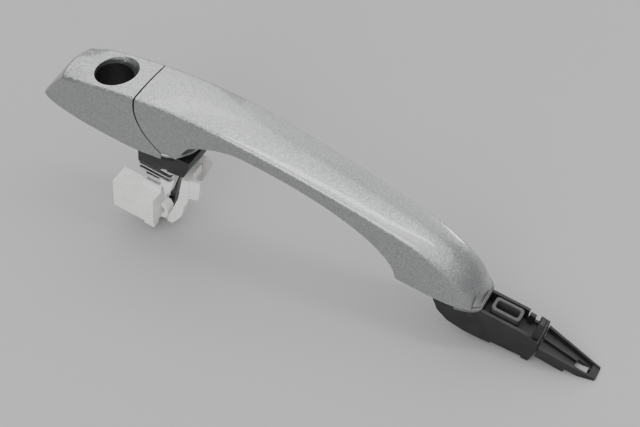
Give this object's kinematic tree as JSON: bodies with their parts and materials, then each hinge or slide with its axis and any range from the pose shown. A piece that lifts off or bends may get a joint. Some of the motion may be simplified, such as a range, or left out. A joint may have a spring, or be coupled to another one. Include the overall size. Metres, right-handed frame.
{
  "type": "car door handle",
  "caption": "Outside pull handle for a car door: painted grip hinged at its front foot, fixed end cap with a key hole, pull leg and guide behind the skin.",
  "frame": {"origin": "where the key cylinder's axis crosses the door skin plane, on the handle's mid-plane", "axes": "+X along the handle from the key hole to the hinge foot, +Z out of the door, +Y across the handle; the plane z = 0 is the door skin"},
  "size_m": [0.292, 0.034, 0.0961],
  "materials": {
    "silver_paint": "fine metallic flake basecoat under clearcoat",
    "black_nylon": "glass-filled nylon, moulded, satin",
    "white_nylon": "natural nylon, moulded",
    "clear_nylon": "translucent unfilled nylon",
    "steel": "zinc-plated steel",
    "rubber": "soft black rubber",
    "grey_rubber": "grey rubber",
    "black_zinc": "black e-coated zinc casting",
    "grey_foam": "light grey foam"
  },
  "bodies": {
    "door_side": {"end_cap": "silver_paint", "cap_carrier": "black_nylon", "key_sleeve": "black_nylon", "sleeve_seal": "rubber", "cap_screws": "steel", "rear_gasket": "rubber", "cap_stem": "black_nylon", "stem_clips": "steel", "guide_block": "white_nylon", "guide_frame": "white_nylon", "guide_arm": "white_nylon", "guide_wing": "clear_nylon", "retaining_nut": "steel", "leg_wiper": "rubber"},
    "grip": {"grip_shell": "silver_paint", "grip_back": "silver_paint", "grip_core": "black_nylon", "back_screws": "steel", "pull_leg": "black_zinc", "leg_slipper": "black_nylon", "hinge_foot": "black_nylon", "foot_pins": "steel", "foot_buffer": "grey_rubber", "stop_post": "black_nylon", "locking_tongue": "black_nylon", "front_gasket": "rubber", "foot_pad": "grey_foam"}
  },
  "joints": [
    {"name": "grip_hinge", "type": "hinge", "parent": "door_side", "child": "grip", "pos_m": [0.222, 0, -0.013], "axis": [0, 1, 0], "range_deg": [0, 7]}
  ]
}
